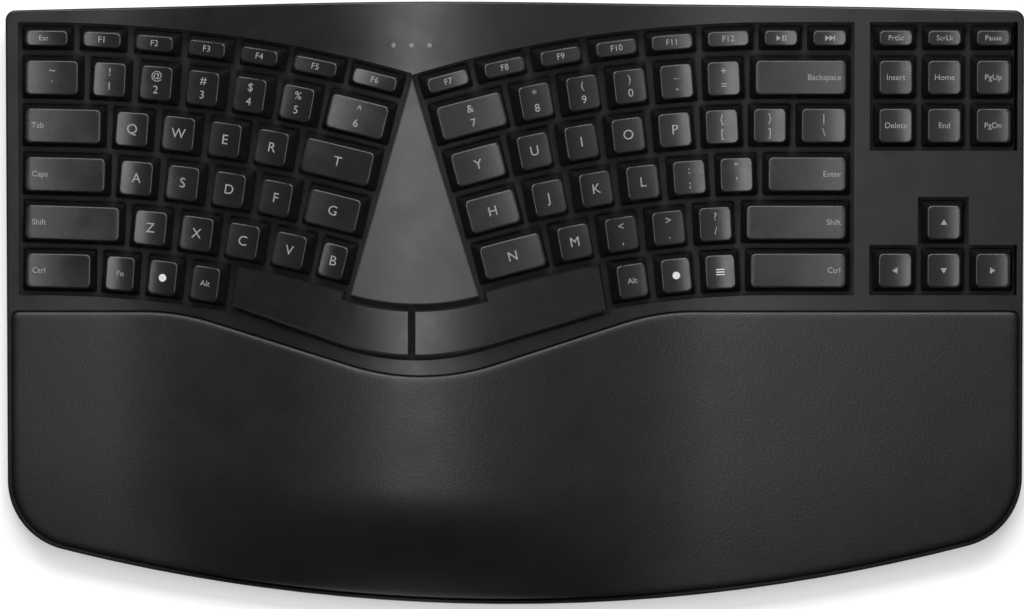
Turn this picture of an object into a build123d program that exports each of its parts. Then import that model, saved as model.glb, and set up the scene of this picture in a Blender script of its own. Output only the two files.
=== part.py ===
from build123d import *
import math
import os

# Split wireless keyboard with a raised ridge, a palm rest and no number pad.
# Millimetres. X to the right, Y to the back, Z up. The origin is the middle of
# the footprint on the table.

# Plan outline of the case
case_width = 399.4
side_back_y = 115.4
back_bow_x = -12.0
back_bow_y = 118.1
back_corner_radius = 4.0
front_middle_x = -2.5
front_middle_y = -118.1
front_arc_radius = 720.0
front_corner_radius = 28.0

# Crown of the case, the height of its upper surface
side_height = 20.0
ridge_rise = 17.0
ridge_x = -40.2
left_run = 118.0
right_run = 118.0
deck_slope = 0.055
side_front_drop = 1.0
ridge_front_drop = 20.0
roll_length = 45.0
crown_step = 12.0
crown_fit = 0.1
crown_overhang = 8.0

# Case walls
table_gap = 2.0
case_floor = 2.2
parting_height = 5.0
top_wall = 2.2
top_skin = 2.4
lip_wall = 1.0
lip_clearance = 0.15
lip_rise = 1.5
rim_fillet = 0.8
base_chamfer = 1.0
far = 80.0

# Palm rest pad, with a back edge that dips to the front in the middle
pad_thickness = 2.6
pad_inset = 1.3
pad_clearance = 0.3
pad_shelf = 2.0
pad_corner = 3.0
pad_back_y = -2.0
pad_dip_x = -36.0
pad_dip_y = -31.9
pad_dip_left_x = -132.4
pad_dip_right_x = 56.5
pad_dip_radius = 93.0

# Key rows: each half is a set of arcs round one centre, straight further out
left_centre_x = -188.0
left_centre_y = -429.3
right_centre_x = 101.7
right_centre_y = -371.2
left_fan = 15.9
right_fan = 17.1
left_edge_x = -194.3
right_edge_x = 132.7
function_row_y = 104.6
number_row_y = 89.2
upper_row_y = 70.4
home_row_y = 51.4
lower_row_y = 32.5
bottom_row_y = 13.7
function_depth = 11.6
row_depth = 19.0
panel_margin = 1.0

# Key widths along their rows
letter_pitch = 18.75
escape_width = 22.4
left_function_width = 21.0
left_inner_function_width = 23.4
right_function_width = 22.3
grave_width = 26.4
tab_width = 35.2
caps_width = 36.8
left_shift_width = 42.3
left_ctrl_width = 31.0
left_small_width = 17.2
backspace_width = 41.6
backslash_width = 23.5
enter_width = 36.5
right_shift_width = 45.0
right_ctrl_width = 43.3
right_small_width = 17.7
nav_pitch = 19.05
nav_first_x = 149.1

# Key caps
cap_gap = 2.0
cap_rise = 4.5
cap_height = 8.0
cap_roof = 1.8
cap_wall = 1.1
cap_side_draft = 2.0
cap_end_draft = 1.8
cap_base_corner = 1.0
cap_top_corner = 2.2
dish_depth = 0.5
key_travel = 3.0
post_diameter = 3.6
post_clearance = 0.35
guide_spacing = 10.0
guided_width = 33.0
post_reach = 9.0

# Wells in the top case round the keys
well_margin = 0.4

# Space bars: straight front edges that meet in a rounded dip
space_dip_x = -40.9
space_dip_y = -24.8
space_left_slope = -0.353
space_right_slope = 0.296
space_dip_radius = 92.0
space_split_gap = 1.4
space_panel_gap = 1.6
space_chamfer = 0.8
space_posts = {"left": [(-93.0, 2.0), (-58.0, -9.0)], "right": [(20.0, 2.5), (-19.0, -9.5)]}

# Centre panel
panel_rise = 1.2
panel_wall = 1.6
panel_skin = 2.0
panel_front_sag = 3.6
panel_left_radius = 450.0
panel_right_radius = 391.5
panel_edge_fillet = 0.8
panel_gap = 0.3

# Layers below the keys, as drops below the crown
key_floor_gap = 1.1
deck_drop = cap_height - cap_rise + key_travel + key_floor_gap
deck_thickness = 1.6
deck_inset = 1.2
deck_reach = 12.0
chimney_height = 3.5
chimney_wall = 0.65
dome_sheet_drop = 12.7
dome_sheet_thickness = 0.6
dome_gap = 0.7
dome_diameter = 6.4
dome_wall = 0.5
dome_roof = 1.2
membrane_thickness = 0.3
plate_thickness = 0.8

# Space bar stabiliser wires
wire_diameter = 1.4
wire_clearance = 0.3
wire_span = 26.0
wire_arm = 9.0
wire_end = 4.2
wire_lift = 20.0
wire_pivot_rise = 2.2
wire_clip_length = 1.8
wire_clip_wall = 0.9
wire_pivot_y = 4.2
wire_bend = 1.2
hook_spacing = 8.0
hook_length = 2.0
hook_wall = 0.8

# Screws
screw_diameter = 2.5
screw_clearance = 0.2
screw_bite = 0.05
screw_head_diameter = 5.2
screw_head_height = 1.4
screw_recess = 0.4
screw_grip = 1.4
screw_tip_room = 0.4
screw_slot_width = 0.6
screw_slot_length = 3.0
screw_slot_depth = 0.7
column_diameter = 7.6
boss_diameter = 6.0
palm_joint_height = 9.0
deck_screws = [(-100.0, 110.0), (44.0, 111.2), (188.0, 52.0), (149.0, 31.0), (-150.0, -10.0), (75.0, -10.0)]
palm_screws = [(-165.0, -60.0), (-92.0, -90.0), (18.0, -92.0), (152.0, -64.0)]

# Battery bay, for two AA cells side by side
cell_diameter = 14.2
cell_length = 49.2
cell_nub_diameter = 5.2
cell_nub = 1.0
bay_x = -40.0
bay_y = -58.0
bay_length = 56.0
bay_width = 31.0
bay_wall = 1.6
bay_head_room = 0.8
contact_thickness = 0.4
contact_width = 10.0
contact_height = 11.0
contact_bump = 0.9
spring_wire = 0.6
spring_turns = 3.0
spring_radius = 3.2
cell_play = 0.1
door_thickness = 1.6
door_overlap = 3.0
door_travel = 5.0
door_clearance = 0.3
door_rib = 0.9
door_rib_height = 0.6
door_grip_length = 14.0
door_grip_width = 1.2
door_grip_pitch = 2.4
door_grip_depth = 0.5
door_ledge = 1.4

# Circuit board and power switch
board_x = -42.0
board_front_y = 66.0
board_length = 80.0
board_back_gap = 3.6
board_thickness = 1.6
board_height = 8.0
standoff_diameter = 6.0
standoff_inset = 5.0
board_pin_diameter = 2.0
board_pin_clearance = 0.1
chip_size = 9.0
chip_height = 1.4
radio_length = 16.0
radio_width = 11.0
radio_height = 2.2
switch_x = -62.0
switch_height = 12.4
switch_travel = 3.0
switch_nub_width = 4.0
switch_nub_height = 2.4
switch_nub_stand = 1.0
switch_plate_width = 9.5
switch_plate_height = 4.6
switch_plate_thickness = 1.0
switch_slot_clearance = 0.3
switch_housing_width = 14.0
switch_housing_depth = 4.0
switch_gap = 0.65
switch_stem_width = 2.0
switch_stem_height = 1.6
switch_stem_length = 2.2

# Receiver and its sleeve in the back wall
receiver_x = 17.0
receiver_z = 12.6
receiver_width = 14.6
receiver_height = 6.0
receiver_cap_length = 7.0
receiver_plug_width = 12.0
receiver_plug_height = 4.5
receiver_plug_length = 13.0
receiver_stand = 0.8
receiver_clearance = 0.3
sleeve_wall = 1.2
receiver_corner = 1.0

# Folding rear feet
foot_x = 152.0
foot_axis_y = 101.0
foot_width = 40.0
foot_length = 18.0
foot_thickness = 3.6
foot_axis_z = 4.2
foot_pin_diameter = 2.4
foot_pin_length = 1.6
foot_pin_clearance = 0.06
foot_side_clearance = 0.4
foot_end_clearance = 0.8
foot_wall = 2.4
foot_roof = 1.2
foot_swing_room = 0.4

# Rubber pads
rubber_length = 26.0
rubber_width = 9.0
rubber_recess = 0.5
rubber_corner = 4.0
rubber_spots = [(-165.0, -78.0), (160.0, -80.0), (-40.0, -104.0), (-108.0, 92.0), (105.0, 92.0), (-184.0, 40.0),
                (182.0, 20.0)]

# Indicator lenses in the back panel
lens_count = 3
lens_pitch = 7.0
lens_diameter = 1.8
lens_y = 101.0
lens_length = 6.0
lens_bar_width = 3.0
lens_bar_height = 1.2
lens_clearance = 0.05


# Crown surface

def front_edge_y(x):
    """Y of the case's front arc at x."""
    rise = front_arc_radius - math.sqrt(front_arc_radius ** 2 - (x - front_middle_x) ** 2)
    return front_middle_y + rise


def swell(x):
    """Share of the ridge's rise that the crown has at x."""
    run = left_run if x < ridge_x else right_run
    reach = min(1.0, abs(x - ridge_x) / run)
    return 0.5 * (1.0 + math.cos(math.pi * reach))


def crown(x, y):
    """Height of the upper surface over the table."""
    level = side_height + ridge_rise * swell(x) + deck_slope * y
    front_drop = side_front_drop + (ridge_front_drop - side_front_drop) * swell(x)
    inland = min(1.0, (y - front_edge_y(x)) / roll_length)
    return level - front_drop * (1.0 - inland) ** 2


def spread(low, high, step):
    """Evenly spaced values from low to high, about a step apart."""
    count = math.ceil((high - low) / step)
    return [low + (high - low) * i / count for i in range(count + 1)]


grid_x = spread(-case_width / 2 - crown_overhang, case_width / 2 + crown_overhang, crown_step)
grid_y = spread(front_middle_y - crown_overhang, back_bow_y + crown_overhang, crown_step)
crown_face = Face.make_surface_from_array_of_points(
    [[Vector(x, y, crown(x, y)) for y in grid_y] for x in grid_x], tol=crown_fit)


def crown_at(drop):
    """The crown surface, lowered by drop."""
    return crown_face.moved(Location((0, 0, -drop)))


def slopes(x, y):
    """Rise of the crown per millimetre along X and along Y."""
    step = 0.5
    along_x = (crown(x + step, y) - crown(x - step, y)) / (2 * step)
    along_y = (crown(x, y + step) - crown(x, y - step)) / (2 * step)
    return along_x, along_y


def seat(x, y, turn, tilt_x, tilt_y):
    """Plane on the crown at (x, y), turned in plan by turn degrees and
    square to the slope of the crown at (tilt_x, tilt_y)."""
    rise_x, rise_y = slopes(tilt_x, tilt_y)
    run_x = math.cos(math.radians(turn))
    run_y = math.sin(math.radians(turn))
    return Plane(origin=(x, y, crown(x, y)),
                 x_dir=(run_x, run_y, rise_x * run_x + rise_y * run_y),
                 z_dir=(-rise_x, -rise_y, 1))


# Key layout

row_y = {"function": function_row_y, "number": number_row_y, "upper": upper_row_y,
         "home": home_row_y, "lower": lower_row_y, "bottom": bottom_row_y}


def depth_of(row):
    return function_depth if row == "function" else row_depth


def row_radius(side, row):
    """Radius of a row's centre line round the centre of its half."""
    centre_y = left_centre_y if side == "left" else right_centre_y
    return row_y[row] - centre_y


def row_start(side):
    """Length along a row at the outer end of the half."""
    if side == "left":
        return left_edge_x - left_centre_x
    return right_centre_x - right_edge_x


def row_end(side, row):
    """Length along a row at which its last key ends beside the panel."""
    fan = left_fan if side == "left" else right_fan
    return math.radians(fan) * row_radius(side, row) - panel_margin


def row_point(side, radius, length):
    """Plan point and turn at a length along the arc of this radius, counted
    from the point straight behind the half's centre."""
    inward = 1 if side == "left" else -1
    centre_x = left_centre_x if side == "left" else right_centre_x
    centre_y = left_centre_y if side == "left" else right_centre_y
    if length < 0:
        return centre_x + inward * length, centre_y + radius, 0.0
    angle = length / radius
    return (centre_x + inward * radius * math.sin(angle),
            centre_y + radius * math.cos(angle),
            -inward * math.degrees(angle))


# Keys of each row from the outer end inward. A width of None fills up to the panel.
rows = {
    ("left", "function"): [("esc", escape_width), ("f1", left_function_width), ("f2", left_function_width),
                           ("f3", left_function_width), ("f4", left_function_width),
                           ("f5", left_inner_function_width), ("f6", None)],
    ("left", "number"): [("grave", grave_width), ("1", letter_pitch), ("2", letter_pitch), ("3", letter_pitch),
                         ("4", letter_pitch), ("5", letter_pitch), ("6", None)],
    ("left", "upper"): [("tab", tab_width), ("q", letter_pitch), ("w", letter_pitch), ("e", letter_pitch),
                        ("r", letter_pitch), ("t", None)],
    ("left", "home"): [("caps", caps_width), ("a", letter_pitch), ("s", letter_pitch), ("d", letter_pitch),
                       ("f", letter_pitch), ("g", None)],
    ("left", "lower"): [("shift_left", left_shift_width), ("z", letter_pitch), ("x", letter_pitch),
                        ("c", letter_pitch), ("v", letter_pitch), ("b", None)],
    ("left", "bottom"): [("ctrl_left", left_ctrl_width), ("fn", left_small_width),
                         ("system_left", left_small_width), ("alt_left", left_small_width)],
    ("right", "function"): [("media_right", nav_pitch), ("media_left", nav_pitch), ("f12", right_function_width),
                            ("f11", right_function_width), ("f10", right_function_width),
                            ("f9", right_function_width), ("f8", right_function_width), ("f7", None)],
    ("right", "number"): [("backspace", backspace_width), ("equals", letter_pitch), ("minus", letter_pitch),
                          ("0", letter_pitch), ("9", letter_pitch), ("8", letter_pitch), ("7", None)],
    ("right", "upper"): [("backslash", backslash_width), ("bracket_right", letter_pitch),
                         ("bracket_left", letter_pitch), ("p", letter_pitch), ("o", letter_pitch),
                         ("i", letter_pitch), ("u", letter_pitch), ("y", None)],
    ("right", "home"): [("enter", enter_width), ("quote", letter_pitch), ("semicolon", letter_pitch),
                        ("l", letter_pitch), ("k", letter_pitch), ("j", letter_pitch), ("h", None)],
    ("right", "lower"): [("shift_right", right_shift_width), ("slash", letter_pitch), ("period", letter_pitch),
                         ("comma", letter_pitch), ("m", letter_pitch), ("n", None)],
    ("right", "bottom"): [("ctrl_right", right_ctrl_width), ("menu", right_small_width),
                          ("system_right", right_small_width), ("alt_right", right_small_width)],
}

# Keys of the block on the right, as column and row
nav_keys = {"print": (0, "function"), "scroll": (1, "function"), "pause": (2, "function"),
            "insert": (0, "number"), "home": (1, "number"), "page_up": (2, "number"),
            "delete": (0, "upper"), "end": (1, "upper"), "page_down": (2, "upper"),
            "arrow_up": (1, "lower"), "arrow_left": (0, "bottom"), "arrow_down": (1, "bottom"),
            "arrow_right": (2, "bottom")}

# Nodes with more than one key: the keys of a finger column share a direction of travel
columns = {
    "keys_f1_1_q_a_z": ["f1", "1", "q", "a", "z"],
    "keys_f2_2_w_s_x": ["f2", "2", "w", "s", "x"],
    "keys_f3_3_e_d_c": ["f3", "3", "e", "d", "c"],
    "keys_f4_4_r_f_v": ["f4", "4", "r", "f", "v"],
    "keys_f5_5_t_g_b": ["f5", "5", "t", "g", "b"],
    "keys_f6_6": ["f6", "6"],
    "keys_f7_7_y_h_n": ["f7", "7", "y", "h", "n"],
    "keys_f8_8_u_j_m": ["f8", "8", "u", "j", "m"],
    "keys_f9_9_i_k_comma": ["f9", "9", "i", "k", "comma"],
    "keys_f10_0_o_l_period": ["f10", "0", "o", "l", "period"],
    "keys_f11_minus_p_semicolon_slash": ["f11", "minus", "p", "semicolon", "slash"],
    "keys_f12_equals_brackets_quote": ["f12", "equals", "bracket_left", "bracket_right", "quote"],
    "keys_media": ["media_left", "media_right"],
    "keys_print_insert_delete": ["print", "insert", "delete"],
    "keys_scroll_home_end": ["scroll", "home", "end"],
    "keys_pause_page_up_page_down": ["pause", "page_up", "page_down"],
}

key_cells = {}
for (side, row), row_keys in rows.items():
    place = row_start(side)
    for key_name, key_width in row_keys:
        end = row_end(side, row) if key_width is None else place + key_width
        x, y, turn = row_point(side, row_radius(side, row), (place + end) / 2)
        key_cells[key_name] = (x, y, turn, end - place, depth_of(row))
        place = end
for key_name, (column, row) in nav_keys.items():
    key_cells[key_name] = (nav_first_x + column * nav_pitch, row_y[row], 0.0, nav_pitch, depth_of(row))

grouped = [key_name for members in columns.values() for key_name in members]
key_nodes = {"key_" + key_name: [key_name] for key_name in key_cells if key_name not in grouped}
key_nodes.update(columns)

# Planes of the keys: the keys of one node share one tilt
key_planes = {}
for members in key_nodes.values():
    middle_x = sum(key_cells[m][0] for m in members) / len(members)
    middle_y = sum(key_cells[m][1] for m in members) / len(members)
    for m in members:
        x, y, turn = key_cells[m][:3]
        key_planes[m] = seat(x, y, turn, middle_x, middle_y)


def post_spots(width):
    """Posts under a key: one in the middle, and two more under a wide key."""
    if width < guided_width:
        return [(0.0, 0.0)]
    return [(-guide_spacing, 0.0), (0.0, 0.0), (guide_spacing, 0.0)]


# Plan outlines

def pad_back_line(shift):
    """Back edge of the pad, moved towards the front by shift."""
    end_x = case_width / 2 + crown_overhang
    return FilletPolyline(
        (-end_x, pad_back_y - shift),
        (pad_dip_left_x, pad_back_y - shift),
        (pad_dip_x, pad_dip_y - shift),
        (pad_dip_right_x, pad_back_y - shift),
        (end_x, pad_back_y - shift),
        radius=pad_dip_radius)


def space_front_line(left_x, right_x, shift):
    """Front edge of the space bars between two x, moved to the front by shift."""
    dip_y = space_dip_y - shift
    return FilletPolyline(
        (left_x, dip_y + space_left_slope * (left_x - space_dip_x)),
        (space_dip_x, dip_y),
        (right_x, dip_y + space_right_slope * (right_x - space_dip_x)),
        radius=space_dip_radius)


with BuildSketch() as case_outline:
    with BuildLine():
        half = case_width / 2
        corner_y_left = front_edge_y(-half)
        corner_y_right = front_edge_y(half)
        ThreePointArc((-half, side_back_y), (back_bow_x, back_bow_y), (half, side_back_y))
        Line((half, side_back_y), (half, corner_y_right))
        ThreePointArc((half, corner_y_right), (front_middle_x, front_middle_y), (-half, corner_y_left))
        Line((-half, corner_y_left), (-half, side_back_y))
    make_face()
    fillet(case_outline.vertices().group_by(Axis.Y)[-1], radius=back_corner_radius)
    fillet(case_outline.vertices().sort_by(Axis.Y)[:2], radius=front_corner_radius)


def inner_outline(inset):
    """Case outline, moved inward."""
    with BuildSketch() as inner:
        add(case_outline.sketch)
        offset(amount=-inset, mode=Mode.REPLACE)
    return inner.sketch


def region_behind_pad(shift):
    """Everything behind the pad's back edge moved to the front by shift."""
    with BuildSketch() as region:
        with BuildLine():
            edge = pad_back_line(shift)
            Polyline(edge @ 1, (far * 3, far * 3), (-far * 3, far * 3), edge @ 0)
        make_face()
    return region.sketch


def pad_sketch(clearance):
    """Pad outline, smaller by the clearance all round."""
    with BuildSketch() as pad:
        add(inner_outline(pad_inset + clearance))
        add(region_behind_pad(clearance), mode=Mode.SUBTRACT)
        back_vertices = pad.vertices().group_by(Axis.Y)[-1].sort_by(Axis.X)
        fillet([back_vertices[0], back_vertices[-1]], radius=pad_corner)
    return pad.sketch


def main_well_sketch():
    """Opening round both halves, the space bars and the centre panel."""
    m = well_margin
    left_back = row_radius("left", "function") + function_depth / 2 + m
    right_back = row_radius("right", "function") + function_depth / 2 + m
    left_front = row_radius("left", "bottom") - row_depth / 2 - m
    right_front = row_radius("right", "bottom") - row_depth / 2 - m
    left_last = row_start("left") + left_ctrl_width + 3 * left_small_width + m
    right_last = row_start("right") + right_ctrl_width + 3 * right_small_width + m
    left_turn = left_last / row_radius("left", "bottom")
    right_turn = right_last / row_radius("right", "bottom")
    left_fan_out = math.asin((ridge_x - left_centre_x) / left_back)
    right_fan_out = math.asin((right_centre_x - ridge_x) / right_back)
    with BuildSketch() as well:
        with BuildLine():
            back_left = CenterArc((left_centre_x, left_centre_y), left_back, 90, -math.degrees(left_fan_out))
            back_right = CenterArc((right_centre_x, right_centre_y), right_back, 90, math.degrees(right_fan_out))
            front_left = CenterArc((left_centre_x, left_centre_y), left_front, 90, -math.degrees(left_turn))
            front_right = CenterArc((right_centre_x, right_centre_y), right_front, 90, math.degrees(right_turn))
            dip = space_front_line((front_left @ 1).X + m, (front_right @ 1).X - m, space_panel_gap)
            Line(back_left @ 1, back_right @ 1)
            Polyline(back_right @ 0, (right_edge_x + m, (back_right @ 0).Y),
                     (right_edge_x + m, (front_right @ 0).Y), front_right @ 0)
            Line(front_right @ 1, dip @ 1)
            Line(front_left @ 1, dip @ 0)
            Polyline(front_left @ 0, (left_edge_x - m, (front_left @ 0).Y),
                     (left_edge_x - m, (back_left @ 0).Y), back_left @ 0)
        make_face()
    return well.sketch


def nav_well_sketch():
    """Openings round the block of nine keys and round the arrow keys."""
    m = well_margin
    middle_x = nav_first_x + nav_pitch
    block_back = row_y["function"] + function_depth / 2 + m
    block_front = row_y["upper"] - row_depth / 2 - m
    arrows_back = row_y["bottom"] + row_depth / 2 + m
    arrows_front = row_y["bottom"] - row_depth / 2 - m
    up_back = row_y["lower"] + row_depth / 2 + m
    with BuildSketch() as well:
        with Locations((middle_x, (block_back + block_front) / 2)):
            Rectangle(3 * nav_pitch + 2 * m, block_back - block_front)
        with Locations((middle_x, (arrows_back + arrows_front) / 2)):
            Rectangle(3 * nav_pitch + 2 * m, arrows_back - arrows_front)
        with Locations((middle_x, (up_back + arrows_front) / 2)):
            Rectangle(nav_pitch + 2 * m, up_back - arrows_front)
    return well.sketch


def panel_sketch(inset):
    """Triangle of the centre panel, smaller by the inset."""
    left_x, left_y, _ = row_point("left", panel_left_radius, math.radians(left_fan) * panel_left_radius)
    right_x, right_y, _ = row_point("right", panel_right_radius, math.radians(right_fan) * panel_right_radius)
    left_back = row_radius("left", "function") + function_depth / 2 + well_margin
    tip_x, tip_y, _ = row_point("left", left_back, math.radians(left_fan) * left_back)
    with BuildSketch() as panel:
        with BuildLine():
            ThreePointArc((left_x, left_y), ((left_x + right_x) / 2, (left_y + right_y) / 2 - panel_front_sag),
                          (right_x, right_y))
            Polyline((right_x, right_y), (tip_x, tip_y), (left_x, left_y))
        make_face()
        offset(amount=-inset, kind=Kind.INTERSECTION, mode=Mode.REPLACE)
    return panel.sketch


def region_behind_space_front(shift):
    """Everything behind the front edge of the space bars moved to the front by shift."""
    with BuildSketch() as region:
        with BuildLine():
            edge = space_front_line(-far * 3, far * 3, shift)
            Polyline(edge @ 1, (far * 3, far * 3), (-far * 3, far * 3), edge @ 0)
        make_face()
    return region.sketch


def space_outer_length(side):
    """Length along the bottom row at which a space bar starts."""
    ctrl_width = left_ctrl_width if side == "left" else right_ctrl_width
    small_width = left_small_width if side == "left" else right_small_width
    return row_start(side) + ctrl_width + 3 * small_width + cap_gap


def space_sketch(side, inset):
    """Plan of one space bar, smaller by the inset on every side."""
    sign = 1 if side == "left" else -1
    fan = left_fan if side == "left" else right_fan
    centre = (left_centre_x, left_centre_y) if side == "left" else (right_centre_x, right_centre_y)
    outer_angle = (space_outer_length(side) + inset) / row_radius(side, "bottom")
    back_radius = row_radius(side, "lower") - row_depth / 2 - cap_gap / 2 - inset
    low_radius = back_radius - 2 * row_depth
    low_x, low_y, _ = row_point(side, low_radius, outer_angle * low_radius)
    split_x = ridge_x - sign * (space_split_gap / 2 + inset)
    with BuildSketch() as bar:
        with BuildLine():
            back = CenterArc(centre, back_radius, 90 - sign * math.degrees(outer_angle),
                             -sign * (fan - math.degrees(outer_angle)))
            Polyline(back @ 1, (split_x, (back @ 1).Y), (split_x, low_y), (low_x, low_y), back @ 0)
        make_face()
        add(panel_sketch(-space_panel_gap - inset), mode=Mode.SUBTRACT)
        add(region_behind_space_front(-inset), mode=Mode.INTERSECT)
    return bar.sketch


# Solids cut to the crown

def under_crown(plan, low, drop):
    """Solid over a plan, from a height up to the crown lowered by drop."""
    with BuildPart() as block:
        with BuildSketch(Plane.XY.offset(low)):
            add(plan)
        extrude(amount=far, dir=(0, 0, 1))
        extrude(to_extrude=crown_at(drop), amount=2 * far, dir=(0, 0, -1), mode=Mode.INTERSECT)
    return block.part


def over_crown(plan, drop):
    """Solid over a plan, from the crown lowered by drop upward."""
    with BuildPart() as block:
        with BuildSketch():
            add(plan)
        extrude(amount=far, dir=(0, 0, 1))
        extrude(to_extrude=crown_at(drop), amount=2 * far, dir=(0, 0, 1), mode=Mode.INTERSECT)
    return block.part


def layer(plan, drop, thickness):
    """Sheet over a plan whose upper face is the crown lowered by drop."""
    with BuildPart() as sheet:
        with BuildSketch():
            add(plan)
        extrude(amount=far, dir=(0, 0, 1))
        extrude(to_extrude=crown_at(drop), amount=thickness, dir=(0, 0, -1), mode=Mode.INTERSECT)
    return sheet.part


def discs(spots, diameter):
    """Plan of round discs at the spots."""
    with BuildSketch() as plan:
        with Locations(*spots):
            Circle(diameter / 2)
    return plan.sketch


def save(piece, label):
    """Name a finished piece and write it."""
    piece.part.label = label
    export_step(piece.part, f"parts/{label}.step")


os.makedirs("parts", exist_ok=True)

shelf_drop = pad_thickness + pad_shelf
sheet_under = dome_sheet_drop + dome_sheet_thickness
film_under = sheet_under + membrane_thickness
stack_under = film_under + plate_thickness
sleeve_width = receiver_width + 2 * (receiver_clearance + sleeve_wall)
sleeve_height = receiver_height + 2 * (receiver_clearance + sleeve_wall)
back_wall_y = back_bow_y - top_wall
lens_spots = [(ridge_x + (i - (lens_count - 1) / 2) * lens_pitch, lens_y) for i in range(lens_count)]
pilot_diameter = screw_diameter + 2 * screw_bite
screw_hole = screw_diameter + 2 * screw_clearance


# Top case: a shell under the crown, with the wells, the pad's bed and the screw bosses
with BuildSketch() as well_plan:
    add(main_well_sketch())
    add(nav_well_sketch())
with BuildSketch() as deep_plan:
    add(inner_outline(top_wall))
    add(region_behind_pad(-pad_shelf - pad_clearance), mode=Mode.INTERSECT)

with BuildPart() as top_case:
    add(under_crown(case_outline.sketch, parting_height, 0))
    fillet(top_case.faces().sort_by(Axis.Z)[-1].edges(), radius=rim_fillet)
    add(under_crown(inner_outline(top_wall), parting_height, shelf_drop), mode=Mode.SUBTRACT)
    add(under_crown(deep_plan.sketch, parting_height, top_skin), mode=Mode.SUBTRACT)
    add(layer(discs(deck_screws, boss_diameter), top_skin / 2, deck_drop - top_skin / 2))
    add(under_crown(discs(palm_screws, boss_diameter), palm_joint_height, pad_thickness + pad_shelf / 2))
    add(over_crown(pad_sketch(0), pad_thickness), mode=Mode.SUBTRACT)
    with BuildSketch(Plane.XY.offset(parting_height)):
        add(well_plan.sketch)
    extrude(amount=far, mode=Mode.SUBTRACT)
    with BuildSketch(Plane.XZ.offset(-back_bow_y + top_wall / 2)):
        with Locations((receiver_x, receiver_z)):
            Rectangle(sleeve_width, sleeve_height)
    extrude(amount=receiver_plug_length + receiver_cap_length)
    with BuildSketch(Plane.XZ.offset(-back_bow_y - top_wall)):
        with Locations((receiver_x, receiver_z)):
            RectangleRounded(receiver_width + 2 * receiver_clearance, receiver_height + 2 * receiver_clearance,
                             receiver_corner)
    extrude(amount=far / 2, mode=Mode.SUBTRACT)
    with BuildSketch(Plane.XZ.offset(-back_bow_y - top_wall)):
        with Locations((switch_x, switch_height)):
            Rectangle(switch_nub_width + switch_travel + 2 * switch_slot_clearance,
                      switch_nub_height + 2 * switch_slot_clearance)
    extrude(amount=3 * top_wall, mode=Mode.SUBTRACT)
    with BuildSketch(Plane.XY.offset(parting_height)):
        with Locations(*lens_spots):
            Circle(lens_diameter / 2 + lens_clearance)
    extrude(amount=far, mode=Mode.SUBTRACT)
    with Locations(*[(x, y, crown(x, y) - pad_thickness - screw_grip) for x, y in deck_screws + palm_screws]):
        Cylinder(pilot_diameter / 2, far / 2, align=(Align.CENTER, Align.CENTER, Align.MAX), mode=Mode.SUBTRACT)
save(top_case, "top_case")


# Palm rest pad, a firm cushion that fills its bed
with BuildPart() as palm_rest_pad:
    add(layer(pad_sketch(pad_clearance), 0, pad_thickness))
save(palm_rest_pad, "palm_rest_pad")


# Centre panel, a hollow wedge that stands on the key deck
with BuildPart() as centre_panel:
    add(layer(panel_sketch(panel_gap), -panel_rise, panel_rise + deck_drop))
    fillet(centre_panel.faces().sort_by(Axis.Z)[-1].edges(), radius=panel_edge_fillet)
    add(layer(panel_sketch(panel_gap + panel_wall), panel_skin - panel_rise, deck_drop + panel_rise),
        mode=Mode.SUBTRACT)
save(centre_panel, "centre_panel")


# Indicator lenses, joined by a bar under the skin
with BuildSketch() as lens_bar_plan:
    with Locations((ridge_x, lens_y)):
        Rectangle((lens_count - 1) * lens_pitch + lens_bar_width, lens_bar_width)
with BuildPart() as indicator_lenses:
    add(layer(discs(lens_spots, lens_diameter), 0, lens_length))
    add(layer(lens_bar_plan.sketch, top_skin, lens_bar_height))
save(indicator_lenses, "indicator_lenses")


# Key deck: a curved plate with a chimney round each key post
space_planes = {}
for side, spots in space_posts.items():
    (outer_x, outer_y), (inner_x, inner_y) = spots
    middle_x = (outer_x + inner_x) / 2
    middle_y = (outer_y + inner_y) / 2
    left_to_right = 1 if side == "left" else -1
    turn = math.degrees(math.atan2((inner_y - outer_y) * left_to_right, (inner_x - outer_x) * left_to_right))
    space_planes[side] = seat(middle_x, middle_y, turn, middle_x, middle_y)
    space_posts[side] = [seat(x, y, turn, middle_x, middle_y) for x, y in spots]

post_planes = [planes for side in ("left", "right") for planes in space_posts[side]]
dome_planes = list(post_planes)
for key_name, plane in key_planes.items():
    dome_planes.append(plane)
    for spot_x, spot_y in post_spots(key_cells[key_name][3]):
        post_planes.append(Plane(origin=plane.from_local_coords((spot_x, spot_y, 0)), x_dir=plane.x_dir,
                                 z_dir=plane.z_dir))
post_locations = [plane.location for plane in post_planes]
bore_diameter = post_diameter + 2 * post_clearance

with BuildSketch() as stack_plan:
    add(inner_outline(top_wall + deck_inset))
    add(region_behind_pad(deck_reach), mode=Mode.INTERSECT)

with BuildPart() as chimney:
    with BuildSketch(Plane.XY.offset(-deck_drop - deck_thickness / 2)):
        Circle(bore_diameter / 2 + chimney_wall)
    extrude(amount=deck_thickness / 2 + chimney_height)

clip_x = wire_span / 2 + wire_bend + wire_clearance + wire_clip_length / 2
with BuildPart() as wire_clip:
    with BuildSketch(Plane.XY.offset(-deck_drop - deck_thickness / 2)):
        for hand in (-1, 1):
            with Locations((hand * clip_x, wire_pivot_y)):
                Rectangle(wire_clip_length, wire_diameter + 2 * (wire_clearance + wire_clip_wall))
    extrude(amount=deck_thickness / 2 + wire_pivot_rise + wire_diameter / 2 + wire_clearance + wire_clip_wall)
    with BuildSketch(Plane.YZ.offset(-wire_span)):
        with Locations((wire_pivot_y, wire_pivot_rise - deck_drop)):
            Circle(wire_diameter / 2 + wire_clearance)
    extrude(amount=2 * wire_span, mode=Mode.SUBTRACT)

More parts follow.
